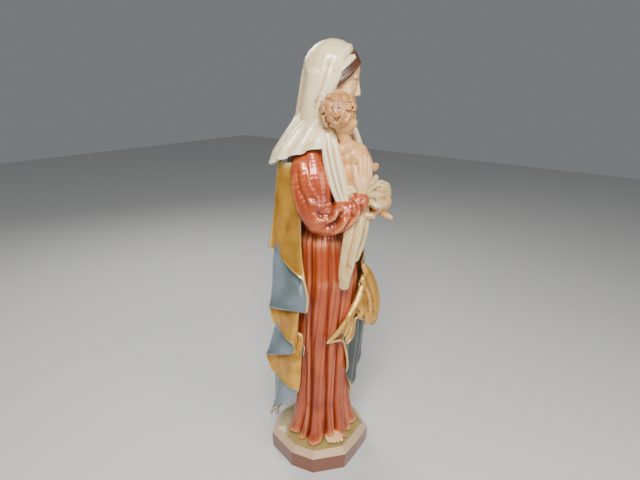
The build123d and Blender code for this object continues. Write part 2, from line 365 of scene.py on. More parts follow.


# paint over chalk ground, brushed on and lacquered; the golds are leaf under a brown wash; sizes in mm; the
# ridge colours are rubbed wear with a painted highlight, and the brown colours laid into the hollows are wash
# with painted shade
looks = {
    "ivory": {"stain": 0.12, "ground": "#f0dcae", "second": "#e6c98e", "ridge": "#fbf0d2", "washAndShade": "#96642c",
    "cloud": 40, "rough": 0.28,
              "coat": 0.7, "washAndShadeFrom": 0.53, "washAndShadeTo": 0.9},
    "blueGlaze": {"stain": 0.2, "rubAndHighlightTo": -0.1, "ground": "#8794a0", "second": "#6b7a7c", "ridge": "#cfd8de",
    "washAndShade": "#4a4a38", "cloud": 30, "rough": 0.3,
                  "metal": 0.45, "coat": 0.6},
    # the blue glaze darkened as painted shade, for the front panel that hangs in shadow
    "shadedBlueGlaze": {"ground": "#4d544f", "second": "#3c4340", "ridge": "#7f8272", "washAndShade": "#2c2116",
    "cloud": 25,
                      "rough": 0.33, "metal": 0.45, "coat": 0.5},
    "oldGold": {"ground": "#e0a63c", "second": "#bd8024", "ridge": "#fadf90", "washAndShade": "#5e300c", "cloud": 22,
    "rough": 0.27,
                "metal": 0.5, "coat": 0.5},
    "hemGold": {"ground": "#b98f4a", "second": "#a07434", "ridge": "#dcc084", "washAndShade": "#7a5424", "cloud": 15,
    "rough": 0.32,
                "metal": 0.4},
    "copperRed": {"ground": "#b84e1e", "second": "#9c3a16", "ridge": "#e08c5a", "washAndShade": "#4a1204",
    "cloud": 35, "rough": 0.3,
                  "metal": 0.22, "coat": 0.6},
    "flesh": {"stain": 0.12, "ground": "#efc48c", "second": "#e6b377", "ridge": "#f8dcb0", "washAndShade": "#9a5524",
    "cloud": 30, "rough": 0.36,
              "coat": 0.35, "skin": True, "washAndShadeFrom": 0.56, "washAndShadeTo": 1.0},
    "eyeWhite": {"stain": 0, "ground": "#efe4cc", "second": "#eadcc0", "ridge": "#f5eddc", "washAndShade": "#c9a67c",
    "cloud": 10, "rough": 0.25},
    "irisBrown": {"stain": 0, "ground": "#4a2c18", "second": "#3c2212", "ridge": "#4a2c18",
    "washAndShade": "#2a160a", "cloud": 10, "rough": 0.2},
    "lipRose": {"stain": 0, "ground": "#c0664a", "second": "#b4583e", "ridge": "#cc7a5c", "washAndShade": "#8a3a26",
    "cloud": 6, "rough": 0.34},
    "childFlesh": {"stain": 0.15, "ground": "#dfa768", "second": "#d29453", "ridge": "#f0c48c",
    "washAndShade": "#8f4c1e", "cloud": 25,
                   "rough": 0.34, "coat": 0.4, "skin": True, "washAndShadeFrom": 0.55, "washAndShadeTo": 0.95},
    "darkHair": {"ground": "#54301d", "second": "#3f2113", "ridge": "#8a5c40", "washAndShade": "#1d0d06", "cloud": 8,
    "rough": 0.35,
                 "relief": hairRelief, "bump": 0.5},
    "childHair": {"ground": "#c58a52", "second": "#b0743c", "ridge": "#e6bd8b", "washAndShade": "#6d3a17",
    "cloud": 8, "rough": 0.36,
                  "relief": hairRelief, "bump": 0.35},
    "creamCloth": {"ground": "#e0c286", "second": "#cda866", "ridge": "#f3e6c4", "washAndShade": "#8a6430",
    "cloud": 20, "rough": 0.4,
                   "coat": 0.4, "relief": weaveRelief, "pattern": weavePattern, "bump": 0.75},
    "bareWood": {"ground": "#c9a878", "second": "#b8935f", "ridge": "#d6b88a", "washAndShade": "#8a6438",
    "cloud": 12, "rough": 0.6, "coat": 0.0},
    "screwSteel": {"stain": 0, "ground": "#9a9a98", "second": "#86868a", "ridge": "#b4b4b2",
    "washAndShade": "#5a5652", "cloud": 6,
                   "rough": 0.35, "metal": 1.0, "coat": 0.0},
    "plinthPaint": {"ground": "#a06c2c", "second": "#80521f", "ridge": "#a08b50", "washAndShade": "#4a3418",
    "cloud": 26,
                    "rough": 0.34, "pattern": plinthFacets},
}
paints = {name: paintWood(name, look) for name, look in looks.items()}
print("paints ready")


# ---- view, floor and light ----

view = {"place": (-543.35, -371.2, 556.0), "azimuth": -55.0, "down": 18.3, "roll": 1.21, "lens": 28}
toward = Vector((math.sin(math.radians(view["azimuth"])), -math.cos(math.radians(view["azimuth"])), 0))
ahead = -toward * math.cos(math.radians(view["down"])) - Vector((0, 0,
    1)) * math.sin(math.radians(view["down"]))
flatRight = ahead.cross(Vector((0, 0, 1))).normalized()
flatUp = flatRight.cross(ahead)
tilt = math.radians(view["roll"])
right = flatRight * math.cos(tilt) + flatUp * math.sin(tilt)
upward = flatUp * math.cos(tilt) - flatRight * math.sin(tilt)
cameraData = bpy.data.cameras.new("viewCamera")
cameraData.lens = view["lens"]
camera = bpy.data.objects.new("viewCamera", cameraData)
turnMatrix = Matrix((right, upward, -ahead)).transposed().to_4x4()
camera.matrix_world = Matrix.Translation(Vector(view["place"]) * mm) @ turnMatrix
scene.collection.objects.link(camera)
scene.camera = camera

deselectAll()
bpy.ops.mesh.primitive_plane_add(size=6, location=(0, 0, 0))
floor = bpy.context.object
floor.name = "paleFloor"
floorPaint = bpy.data.materials.new("paleFloorPaint")
floorPaint.use_nodes = True
floorPaint.node_tree.nodes["Principled BSDF"].inputs["Base Color"].default_value = fromHex("#d4d2ce")
floorPaint.node_tree.nodes["Principled BSDF"].inputs["Roughness"].default_value = 0.6
floor.data.materials.append(floorPaint)

world = bpy.data.worlds.new("softRoom")
world.use_nodes = True
world.node_tree.nodes["Background"].inputs["Color"].default_value = fromHex("#c9cdd2")
world.node_tree.nodes["Background"].inputs["Strength"].default_value = 0.32
scene.world = world
lamps = {"key": ((-0.75, -0.45, 1.15), 0.4, 22), "front": ((-0.2, -1.1, 0.7), 0.7, 7),
    "rim": ((0.4, 0.9, 1.0), 0.5, 8)}
for name, (spot, size, power) in lamps.items():
    lampData = bpy.data.lights.new(name, "AREA")
    lampData.size = size
    lampData.energy = power
    lamp = bpy.data.objects.new(name, lampData)
    lamp.location = spot
    lamp.rotation_euler = (Vector((0, 0, 0.32)) - Vector(spot)).to_track_quat("-Z", "Y").to_euler()
    scene.collection.objects.link(lamp)
print("view and light ready")


# ---- plinth and hidden fixings keep their CAD shape ----

fixingPaints = {"plinth": "plinthPaint", "plinth_screws": "screwSteel"}  # pegs and dowels stay bare wood
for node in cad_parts:
    cadPiece = bpy.data.objects.get(node)
    if cadPiece:
        cadPiece.data.materials.clear()
        cadPiece.data.materials.append(paints[fixingPaints.get(node, "bareWood")])


# ---- skirt: upright folds with round ridges and sharp valleys ----

skirt = {"folds": [34, 18, 27, 40, 21, 35, 16, 38, 25, 33, 18, 36, 26],
    "levels": [38, 52, 95, 190, 290, 346, 372],
         "halfX": [44, 41, 37, 40, 41, 39, 31], "halfY": [38, 36, 33, 36, 37, 34, 25],
         "midY": [-2, -2, -1, -3, -6, -3, -1],
         "depth": [11, 10, 8.5, 8, 6.5, 4.5, 2], "footAngle": -2.1, "lift": 10}


def skirtShape(u, v):
    angle = 2 * math.pi * u
    fromFoot = (angle - skirt["footAngle"] - 2 * math.pi) / 0.3
    lift = skirt["lift"] * np.exp(-(fromFoot ** 2)) + 1.6 * np.sin(5 * angle + 1)
    hem = 38.5 + np.maximum(lift, -1.5)
    z = hem + (372 - hem) * v ** 1.15
    sway = 0.10 * np.sin(2 * angle + 0.8) * (z - 190) / 190
    sway = sway + 0.06 * np.sin(angle + z / 60) + 0.14 * np.exp(-(z - 38) / 45)
    ridge = foldRelief(angle + sway, skirt["folds"])
    small = foldRelief(2.07 * angle + 0.5 + 0.3 * np.sin(z / 70), skirt["folds"])
    depth = np.interp(z, skirt["levels"], skirt["depth"])
    out = depth * (ridge - 0.35) + 1.3 * small + np.exp(-(z - hem) / 24) * (2 + 5 * ridge)
    x = (np.interp(z, skirt["levels"], skirt["halfX"]) + out) * np.cos(angle)
    y = (np.interp(z, skirt["levels"], skirt["halfY"]) + out) * np.sin(angle) + np.interp(z, skirt["levels"],
        skirt["midY"])
    return x, y, z


piece = hangSheet("skirt", skirtShape, 420, 104, 4)
finishPiece(piece, [paints["copperRed"]] * 3, "red_paint", "tunic_skirt", reach=10, depth=1.2)


# ---- bodice ----

bodice = {"softness": 8}
piece = modelClay("bodice", balls=[
    ((0, -2, 352), (38, 33, 22)), ((0, -1, 385), (39, 31, 40)), ((0, 1, 425), (43, 29, 38)),
    ((0, 5, 458), (46, 23, 20)),
    ((-14, -17, 432), (16, 15, 17)), ((14, -17, 432), (16, 15, 17)), ((0, 6, 472), (24, 19, 14)),
], voxel=1.3, rounds=bodice["softness"])
gouge(piece, [
    ([(-20, -38, 350), (-16, -36, 385), (-12, -32, 420)], 4, -2.2), ([(0, -38, 350), (0, -34, 400)], 4, -2),
    ([(18, -38, 350), (16, -36, 385), (12, -32, 420)], 4, -2.2), ([(-30, -30, 352), (-32, -25, 400)], 4, -2),
    ([(30, -30, 352), (32, -25, 400)], 4, -2), ([(-26, -24, 466), (0, -28, 462), (26, -24, 466)], 3, 1.6),
])
finishPiece(piece, [paints["copperRed"]], "red_paint", "tunic_bodice")


# ---- sleeves ----

sleeves = {"voxel": 0.9}


def cuffRing(centre, axis, radius, wall):
    axis = Vector(axis).normalized()
    side = axis.cross(Vector((0, 0, 1))).normalized()
    top = side.cross(axis)
    ring = []
    for i in range(17):
        a = 2 * math.pi * i / 16
        p = Vector(centre) + side * radius * math.cos(a) + top * radius * 0.85 * math.sin(a)
        ring.append((*p, wall))
    return ring


piece = modelClay("rightSleeve", limbs=[
    [(-40, 6, 455, 14), (-50, 2, 444, 16.5), (-52, -4, 418, 17.5), (-51, -12, 394, 17),
    (-47, -18, 379, 15.5)],
    [(-47, -18, 379, 15.5), (-38, -32, 377, 16), (-29, -45, 385, 15.5), (-20, -55, 398, 13.5),
    (-15, -61, 407, 12.5)],
    [(-38, -3, 458, 14), (-42, -12, 434, 18), (-43, -17, 408, 17)],
    [(-44, -20, 396, 16), (-38, -34, 390, 15), (-29, -44, 396, 13)],
    cuffRing((-14, -62, 409), (0.35, -0.75, 0.55), 11.5, 2.2),
    cuffRing((-16, -60, 406), (0.35, -0.75, 0.55), 12.5, 2.0),
], voxel=sleeves["voxel"], rounds=5)
gouge(piece, [
    ([(-60, -18, 396), (-46, -32, 392), (-34, -36, 398)], 3.4, -2.2),
    ([(-62, -14, 408), (-52, -26, 402), (-40, -34, 402)], 3.2, 2.6),
    ([(-60, -22, 384), (-48, -38, 386), (-36, -44, 398)], 3.6, 3.4),
    ([(-54, -30, 374), (-44, -44, 382), (-34, -50, 398)], 2.8, -3.2),
    ([(-46, -38, 368), (-38, -50, 380), (-28, -54, 400)], 3.2, 3.0),
    ([(-40, -44, 370), (-31, -56, 384), (-24, -56, 402)], 2.6, -3.0),
    ([(-33, -50, 374), (-26, -61, 388), (-20, -58, 406)], 2.8, 2.4),
    ([(-28, -54, 378), (-22, -64, 392), (-17, -60, 410)], 2.2, -2.4),
    ([(-64, 0, 450), (-66, -6, 425), (-62, -16, 402)], 3, -1.8),
    ([(-66, 6, 440), (-69, 2, 415), (-64, -8, 388)], 3.5, 2.0),
    ([(-58, -10, 450), (-62, -18, 428), (-57, -27, 406)], 3, 1.8),
])
relax(piece, 2)
finishPiece(piece, [paints["copperRed"]], "red_paint", "right_sleeve_upper", "right_sleeve_fore", reach=18)

piece = modelClay("leftSleeve", limbs=[
    [(40, 6, 455, 14), (50, 2, 444, 16.5), (54, -3, 418, 17), (56, -7, 394, 17), (54, -10, 376, 15)],
    [(54, -10, 376, 15), (49, -25, 370, 16), (40, -36, 374, 14), (33, -43, 379, 11.5)],
    cuffRing((31, -45, 380), (-0.7, -0.7, 0.15), 11, 2.2),
], voxel=sleeves["voxel"], rounds=5)
gouge(piece, [
    ([(66, -18, 396), (54, -32, 390), (42, -34, 396)], 3.2, -3.6),
    ([(66, -14, 410), (58, -24, 402), (48, -28, 402)], 3.2, 2.4),
    ([(66, -22, 380), (52, -38, 382), (42, -38, 390)], 3.4, 2.8),
    ([(62, -28, 366), (50, -42, 374), (40, -42, 388)], 2.6, -2.8),
    ([(54, -36, 358), (44, -48, 368), (36, -46, 386)], 3, 2.4),
    ([(70, 2, 445), (72, -4, 420), (70, -12, 396)], 3, -1.8),
    ([(62, -12, 450), (66, -18, 425), (62, -24, 406)], 3, 1.8),
])
relax(piece, 2)
finishPiece(piece, [paints["copperRed"]], "red_paint", "left_sleeve_upper", "left_sleeve_fore", reach=18)


# ---- hands and foot ----

hands = {"voxel": 0.5}
handFrame = Matrix.Translation((-14, -62, 412)) @ Matrix.Rotation(math.radians(-14), 4,
    "Z") @ Matrix.Rotation(math.radians(4), 4, "Y")
piece = modelClay("rightHand", where=handFrame,
    balls=[((3, -1, 17), (9.5, 5, 13)), ((-4, -2, 12), (5, 4.5, 8), (0, -25, 0))], limbs=[
    [(-1, 1, -8, 6.5), (0, 0, 2, 6.5), (1, 0, 10, 6.5)],
    [(-4, 0, 24, 3.7), (-5, 0, 34, 3.4), (-5.5, 2, 44, 3.1), (-5, 5, 53, 2.5)],
    [(1, -1, 26, 3.9), (1, -1, 37, 3.5), (1, 1, 47, 3.2), (1, 5, 57, 2.5)],
    [(6.5, -1, 25, 3.8), (7, -1, 35, 3.4), (7, 1, 45, 3.1), (7, 5, 54, 2.4)],
    [(11, 0, 21, 3.3), (12.5, 0, 29, 3), (13, 2, 37, 2.7), (12.5, 4, 44, 2.1)],
    [(-5, -2, 8, 4.6), (-10, -2, 18, 4), (-12.5, 0, 28, 3.4), (-12, 2, 37, 2.6)],
], voxel=hands["voxel"], rounds=4)
finishPiece(piece, [paints["flesh"]], "flesh_paint", "right_hand")

piece = modelClay("leftHand", balls=[((17, -54, 382), (15, 12, 5), (0, 0, 30))], limbs=[
    [(34, -41, 379, 7), (27, -47, 380, 7), (20, -52, 381, 6)],
    [(12, -65, 382, 4), (4, -70, 384, 3.7), (-5, -72, 388, 2.9)],
    [(9, -60, 382, 4.2), (0, -66, 384, 3.8), (-9, -68, 389, 3)],
    [(7, -55, 382, 4.2), (-3, -60, 384, 3.7), (-11, -62, 389, 2.9)],
    [(6, -50, 382, 3.8), (-3, -54, 384, 3.2), (-9, -55, 388, 2.5)],
    [(22, -60, 384, 4.4), (18, -70, 390, 4), (13, -75, 396, 3.2)],
], voxel=hands["voxel"], rounds=4)
finishPiece(piece, [paints["flesh"]], "flesh_paint", "left_hand")

foot = {"place": (-25, -41, 42), "turn": -30}
footFrame = localFrame(foot["place"], foot["turn"])
toes = []
for across, forward, thick in ((-9, 7, 3.4), (-2.8, 8, 2.6), (2, 7, 2.4), (6.4, 5.5, 2.3), (10.4, 3.5, 2.1)):
    toes.append([(across * 0.8, -9, 3, thick + 0.6), (across, forward - 5, 1.4, thick),
        (across, forward, -0.6, thick * 0.9)])
piece = modelClay("rightFoot", where=footFrame, balls=[((0, -17, 2.5), (12.5, 15, 6))], limbs=toes,
    voxel=0.5, rounds=2)
finishPiece(piece, [paints["flesh"]], "flesh_paint", "right_foot")


# ---- her head and hair ----

head = {"place": (3, -7, 551), "turn": 35, "tip": 8, "voxel": 0.7}
headFrame = localFrame(head["place"], head["turn"])
headFrame = headFrame @ Matrix.Rotation(math.radians(-head["tip"]), 4, "X")
piece = modelClay("head", where=headFrame, balls=[
    ((0, -4, 8), (26, 30, 31)), ((0, 8, -6), (21.5, 21, 28)), ((0, 19, -33), (8.5, 8, 7)),
    ((0, 16, 14), (20, 13, 17)),
    ((12, 15, -12), (9, 9, 10)), ((-12, 15, -12), (9, 9, 10)), ((3.2, 28, -13), (2.5, 3, 2.3)),
    ((-3.2, 28, -13), (2.5, 3, 2.3)),
    ((0, 23, -24), (8.5, 5, 6)),
], limbs=[
    [(-20, 0, -14, 7), (-15, 8, -26, 7), (-6, 17, -34, 6), (6, 17, -34, 6), (15, 8, -26, 7),
    (20, 0, -14, 7)],
    [(0, 26.5, 6, 2.6), (0, 28.5, -2, 2.7), (0, 30.6, -9, 3.1), (0, 31, -12, 3.2)],
    [(-15, 23, 7, 2), (-9, 25.8, 8.6, 2.2), (-4, 27, 6.5, 2)],
    [(15, 23, 7, 2), (9, 25.8, 8.6, 2.2), (4, 27, 6.5, 2)],
], voxel=head["voxel"], rounds=5)
gouge(piece, [
    ([(-15, 24, 1), (-10, 26, 1), (-6, 26, 0)], 3.6, -2.6),
    ([(15, 24, 1), (10, 26, 1), (6, 26, 0)], 3.6, -2.6),
], headFrame)
gouge(piece, [
    ([(-14.5, 24, 1.2), (-10, 26, 3.2), (-5.8, 25.5, 0.8)], 1.2, 1.5),
    ([(14.5, 24, 1.2), (10, 26, 3.2), (5.8, 25.5, 0.8)], 1.2, 1.5),
    ([(-14, 23, 0), (-10, 25, -2.2), (-6, 25, 0)], 1.2, 1.1),
    ([(14, 23, 0), (10, 25, -2.2), (6, 25, 0)], 1.2, 1.1),
    ([(0, 28, -30.5), (0.1, 28, -30)], 2.6, -0.9),
], headFrame)
finishPiece(piece, [paints["flesh"]], "flesh_paint", "head", "neck", reach=10, depth=1.2)
piece = modelClay("throat", limbs=[[(0, 4, 470, 17), (1, 1, 500, 13.5), (3, -3, 522, 13.5),
    (3, -5, 540, 14)]], voxel=1, rounds=5)
finishPiece(piece, [paints["flesh"]], "flesh_paint")

def paintFace(name, where, sizes):  # ball eyes under lids looking down, and a closed mouth
    apart, deep, level, ball = sizes["eye"]
    spots = [(side * apart, deep, level) for side in (-1, 1)]
    piece = modelClay(name + "Eyes", where=where, balls=[(spot, (ball,) * 3) for spot in spots], voxel=0.35,
        rounds=1)
    finishPiece(piece, [paints["eyeWhite"]], "flesh_paint")
    irises = [((x, y + 0.8 * ball, z - 0.25 * ball), (0.42 * ball, 0.3 * ball, 0.42 * ball)) for x, y,
        z in spots]
    piece = modelClay(name + "Irises", where=where, balls=irises, voxel=0.25, rounds=1)
    finishPiece(piece, [paints["irisBrown"]], "hair_paint")
    lids = []
    for x, y, z in spots:
        lids.append([(x - 1.15 * ball, y + 0.35 * ball, z + 0.1 * ball, 0.22 * ball),
            (x, y + 0.92 * ball, z + 0.42 * ball, 0.32 * ball),
                     (x + 1.15 * ball, y + 0.35 * ball, z + 0.1 * ball, 0.22 * ball)])
    piece = modelClay(name + "Lids", where=where, limbs=lids, voxel=0.35, rounds=2)
    finishPiece(piece, [paints[sizes["skin"]]], "flesh_paint")
    wide, front, height, thick = sizes["mouth"]
    lips = [[(-wide, front - 0.32 * wide, height, 0.5 * thick), (0, front, height + 0.5 * thick, thick),
        (wide, front - 0.32 * wide, height, 0.5 * thick)],
            [(-0.8 * wide, front - 0.3 * wide, height - 0.6 * thick, 0.5 * thick),
            (0, front - 0.2, height - 1.1 * thick, 1.1 * thick),
             (0.8 * wide, front - 0.3 * wide, height - 0.6 * thick, 0.5 * thick)]]
    piece = modelClay(name + "Lips", where=where, limbs=lips, voxel=0.3, rounds=2)
    finishPiece(piece, [paints["lipRose"]], "flesh_paint", reach=4, depth=0.8)


paintFace("head", headFrame, {"eye": (8.6, 22.6, 0.4, 3.5), "mouth": (6.4, 28.4, -22.4, 1.4),
    "skin": "flesh"})

locks = []
for side in (1, -1):
    for i in range(5):  # locks combed from the parting, down past the temple and back under the veil
        locks.append([(side * 1.5, 23 - 1.5 * i, 27 + 2.2 * i, 3.4),
            (side * 11, 24 - 2.2 * i, 22 + 2.4 * i, 4.2),
                      (side * 21, 16 - 3.4 * i, 12 + 2.4 * i, 4.4),
                      (side * 25.5, 6 - 3.8 * i, 0 + 2 * i, 4.4),
                      (side * 24.5, -5 - 3 * i, -12, 4.4)])
piece = modelClay("hairPiece", where=headFrame, balls=[((0, -5, 10), (27.5, 29, 30))], limbs=locks,
    voxel=0.7, rounds=2,
                  cut=[((0, 14, 0), (0, 0.86, -0.5))])
finishPiece(piece, [paints["darkHair"]], "hair_paint", "hair", reach=8, depth=0.9)


# ---- veil ----

veil = {"voxel": 1.0}
piece = modelClay("veilHood", where=headFrame,
    balls=[((0, -6, 9), (33, 37, 39)), ((0, -12, -10), (30, 30, 34))],
                  voxel=veil["voxel"], rounds=6, cut=[((0, 7, 12), (0, 0.78, -0.62))], after=[
    [(26, 0, 6, 7), (27, -8, -14, 9), (26, -12, -34, 11), (24, -12, -54, 12)],
    [(-26, 0, 6, 7), (-27, -8, -14, 9), (-26, -12, -34, 11), (-24, -12, -54, 12)],
    [(18, -22, 2, 14), (18, -22, -24, 15), (16, -20, -54, 18)],
    [(-18, -22, 2, 14), (-18, -22, -24, 15), (-16, -20, -54, 18)],
    [(0, -28, 0, 16), (0, -27, -28, 17), (0, -24, -56, 20)],
    [(22, -10, 16, 10), (23, -14, 0, 12), (22, -18, -24, 12)],
    [(-22, -10, 16, 10), (-23, -14, 0, 12), (-22, -18, -24, 12)],
])
gouge(piece, [
    ([(31, 2, 18), (24, 13, 32), (8, 21, 42), (-8, 21, 42), (-24, 13, 32), (-31, 2, 18)], 2.2, -2.0),
    ([(31, -5, 22), (24, 6, 38), (8, 14, 47), (-8, 14, 47), (-24, 6, 38), (-31, -5, 22)], 3, 1.6),
    ([(32, -12, 24), (32, -14, 8), (30, -16, -14), (24, -20, -40)], 2.6, -2.6),
    ([(34, -6, 10), (33, -10, -8), (30, -12, -28)], 3, 2.0),
    
    ([(8, -46, 14), (9, -46, -20), (11, -44, -54)], 5, -2.2),
    ([(-9, -46, 14), (-11, -46, -20), (-13, -44, -54)], 5, -2.2), 
    ([(-32, -16, 14), (-33, -14, -10), (-30, -14, -34)], 2.8, -2.2),
], headFrame)
relax(piece, 2)
finishPiece(piece, [paints["ivory"]], "cream_paint", "veil_hood", reach=18, depth=1.8)

cape = {"levels": [0, 0.22, 0.5, 0.8, 1.0], "halfX": [23, 30, 48, 61, 65], "halfY": [25, 30, 36, 44, 47],
        "midY": [8, 10, 13, 18, 21]}


def capeShape(u, v):
    angle = math.radians(-62) + u * math.radians(304)
    back = np.maximum(0, np.cos(angle - math.radians(118))) ** 3
    hem = 466 - 30 * back + 6 * np.cos(3 * angle)
    z = 520 + (hem - 520) * v ** 1.1
    fold = np.cos(13 * angle + 4 * v + 0.8 * np.sin(2 * angle)) * (1.2 + 1.6 * v)
    fold = fold + np.cos(7 * angle - 3 * v) * 1.2
    out = fold
    x = -2 + (np.interp(v, cape["levels"], cape["halfX"]) + out) * np.cos(angle)
    y = np.interp(v, cape["levels"], cape["midY"]) + (np.interp(v, cape["levels"],
        cape["halfY"]) + out) * np.sin(angle)
    return x, y, z


piece = hangSheet("veilCape", capeShape, 300, 70, 3.2)
finishPiece(piece, [paints["ivory"]] * 3, "cream_paint", "veil_cape", reach=14, depth=1.6)

falls = {
    "rightVeilFall": ([[(-24, -14, 506, 8), (-33, -24, 484, 10), (-36, -32, 458, 12), (-34, -39, 432, 12),
    (-29, -45, 406, 9)]],
                      "veil_right_fall", -1),
    "leftVeilFall": ([[(24, -12, 504, 8), (31, -22, 482, 10), (33, -28, 458, 10), (30, -32, 438, 9),
    (25, -36, 418, 7)]],
                     "veil_left_fall", 1),
}
for name, (strip, node, side) in falls.items():
    limbs = [(strip[0], 0.5, (side * 0.75, -0.66, 0))]
    piece = modelClay(name, limbs=limbs, voxel=0.9, rounds=5)
    lines = []
    for shift, height in ((-6, -2.2), (-2, 1.6), (2, -1.8), (6, 1.4)):
        lines.append(([(x + shift * 0.66 * side * -1 + side * 4, y - shift * 0.75 - 4, z) for x, y, z,
            r in strip[0][1:]], 2.0, height))
    gouge(piece, lines)
    relax(piece, 1)
    finishPiece(piece, [paints["ivory"]], "cream_paint", node, reach=14)


# ---- mantle ----

mantle = {"levels": [58, 150, 250, 350, 430, 462], "halfX": [62, 62, 61, 60, 57, 48],
    "halfY": [52, 51, 50, 48, 42, 33],
          "midY": [14, 14, 13, 13, 12, 10]}


def mantleShape(u, v):
    angle = math.radians(-17) + u * np.radians(np.interp(v, [0.2, 0.7], [162, 174]))
    hem = 62 + 5 * np.sin(4 * angle) + 14 * np.clip(u - 0.8, 0, 1)
    z = hem + (458 - hem) * v
    sway = 0.08 * np.sin(3 * angle + 1) * (z - 200) / 200 + 0.05 * np.sin(z / 70 + 2 * angle)
    depth = np.interp(z, [60, 250, 458], [9, 6.5, 2])
    out = depth * (foldRelief(1.15 * angle + sway, skirt["folds"]) - 0.5) + np.exp(-(z - hem) / 10) * 1.5
    x = -2 + (np.interp(z, mantle["levels"], mantle["halfX"]) + out) * np.cos(angle)
    y = np.interp(z, mantle["levels"], mantle["midY"]) + (np.interp(z, mantle["levels"],
        mantle["halfY"]) + out) * np.sin(angle)
    return x, y, z


piece = hangSheet("mantleBack", mantleShape, 300, 150, 5)
finishPiece(piece, [paints["blueGlaze"], paints["oldGold"], paints["blueGlaze"]], "blue_paint",
    "mantle_back", reach=14, depth=1.8)

# the right edge hangs in six pleats, turning at front and back, each ending lower than the one over it
cascade = {
    "pleats": [(335, 305), (255, 250), (220, 205), (185, 170), (140, 130), (120, 65)],
    # hem height at each end of each pleat
    "back": [45, 45, 45, 50, 55, 55, 50], "front": [-10, -20, -10, 5, 5, 0, 10], "face": -65, "layer": 1.5,
    "under": 4.2, "loop": 0.12,
}
turnTable = np.linspace(0, 6, 601)
hemTable = np.interp(turnTable, [k + e for k in range(6) for e in (cascade["loop"], 1 - cascade["loop"])],
                     [h for pleat in cascade["pleats"] for h in pleat])
softWindow = np.hanning(17) / np.hanning(17).sum()
hemTable = np.convolve(np.pad(hemTable, 8, mode="edge"), softWindow, mode="valid")


def cascadeShape(u, v):
    turn = 6 * u
    hem = np.interp(turn, turnTable, hemTable)
    top = np.where(turn < 1.15, 452, np.minimum(452, hem + np.interp(turn, [1.15, 2, 3], [110, 100, 85])))
    z = hem + (top - hem) * v ** 1.4
    near = np.exp(-(z - hem) / 45)
    front = np.interp(turn, range(7), cascade["front"]) * near - 4 * (1 - near)
    back = np.interp(turn, range(7), cascade["back"]) * near + np.interp(turn, [0, 1, 2],
        [40, 36, 36]) * (1 - near)
    y = (front + back) / 2 + (back - front) / 2 * np.cos(math.pi * turn)
    opening = 0.3 + 6.5 * np.exp(-(z - hem) / 26)
    swell = 3.2 * np.sin(math.pi * np.mod(turn, 1)) * np.exp(-(z - hem) / 60)
    flute = 2.4 * np.sin(y / 7.5 + z / 55) * (1 - np.exp(-(z - hem) / 30))
    x = cascade["face"] + cascade["layer"] * turn + opening * np.sin(2 * math.pi * turn) * 0.8 - swell + flute
    x = x - 1.6 * np.exp(-(z - hem) / 3.5)
    for k in range(1, 6):  # a pleat lies deeper wherever the pleat over it still hangs in front
        outerHem = np.interp(np.maximum(2 * k - turn, k - 1), turnTable, hemTable)
        x += cascade["under"] * np.clip((turn - k) / 0.2, 0,
            1) / (1 + np.exp(-np.clip((z - outerHem + 5) / 4, -30, 30)))
    narrow = np.interp(z, [66, 340, 452], [1, 1, 0.78])
    return x + 8 * (1 - narrow) / 0.22 * 0.6, 24 + (y - 24) * narrow, z


piece = hangSheet("rightCascade", cascadeShape, 480, 96, 3)
finishPiece(piece, [paints["oldGold"], paints["blueGlaze"], paints["hemGold"]], "gilding",
    "mantle_right_cascade", reach=14, depth=1.3)


panel = {"degrees": [15, -10, -35, -55, -85, -100, -120], "hem": [235, 210, 170, 140, 100, 140, 205],
    "top": [375, 365, 320, 300, 265, 245, 215],
         "heights": [100, 150, 200, 300], "spread": [0.8, 0.92, 1.04, 1.0],
         "folds": [20, 14, 26, 16, 22, 12, 24, 18, 15, 27, 20, 13]}


def panelShape(u, v):  # a pointed drape across the front, its edge rising to a tip on her right
    degrees = 15 - 135 * u
    angle = np.radians(degrees)
    hem = np.interp(-degrees, [-d for d in panel["degrees"]], panel["hem"])
    top = np.interp(-degrees, [-d for d in panel["degrees"]], panel["top"])
    z = hem + (top - hem) * v
    scale = np.interp(z, panel["heights"], panel["spread"])
    fan = 1.5 * angle + 0.25 * np.sin(2 * angle) * (z - 100) / 150
    out = (foldRelief(fan, panel["folds"]) - 0.4) * np.interp(v, [0, 1], [8, 4]) + 2 * np.exp(-v / 0.05)
    return 8 + (49 * scale + out) * np.cos(angle), -8 + (38 * scale + out) * np.sin(angle), z


piece = hangSheet("frontPanel", panelShape, 280, 110, 3)
# the front panel's blue is the glaze darkened as painted shade
finishPiece(piece, [paints["oldGold"], paints["shadedBlueGlaze"], paints["hemGold"]], "blue_paint",
    "mantle_front_panel", reach=12, depth=1.4)

turned = {"voxel": 0.8, "flat": 0.6, "way": (-0.1, -1, 0)}
lobes = [
    [(26, -48, 304, 5), (34, -54, 284, 9), (41, -58, 256, 12), (42, -59, 238, 13), (39, -60, 226, 11)],
    [(20, -52, 286, 6), (26, -57, 262, 9), (27, -59, 240, 10), (27, -60, 224, 8)],
    [(18, -52, 272, 8), (10, -52, 258, 9), (0, -50, 246, 8), (-8, -48, 238, 6)],
    [(12, -52, 262, 7), (14, -55, 246, 9), (12, -55, 236, 7)],
    [(-6, -49, 240, 7), (-9, -50, 224, 8.5), (-11, -49, 212, 8), (-12, -48, 205, 5.5)],
    [(-10, -47, 232, 6), (-20, -42, 220, 5.5), (-29, -37, 211, 4), (-36, -33, 206, 2.2)],
]
piece = modelClay("turnedEdge", limbs=[(lobe, turned["flat"], turned["way"]) for lobe in lobes],
    voxel=turned["voxel"], rounds=4)
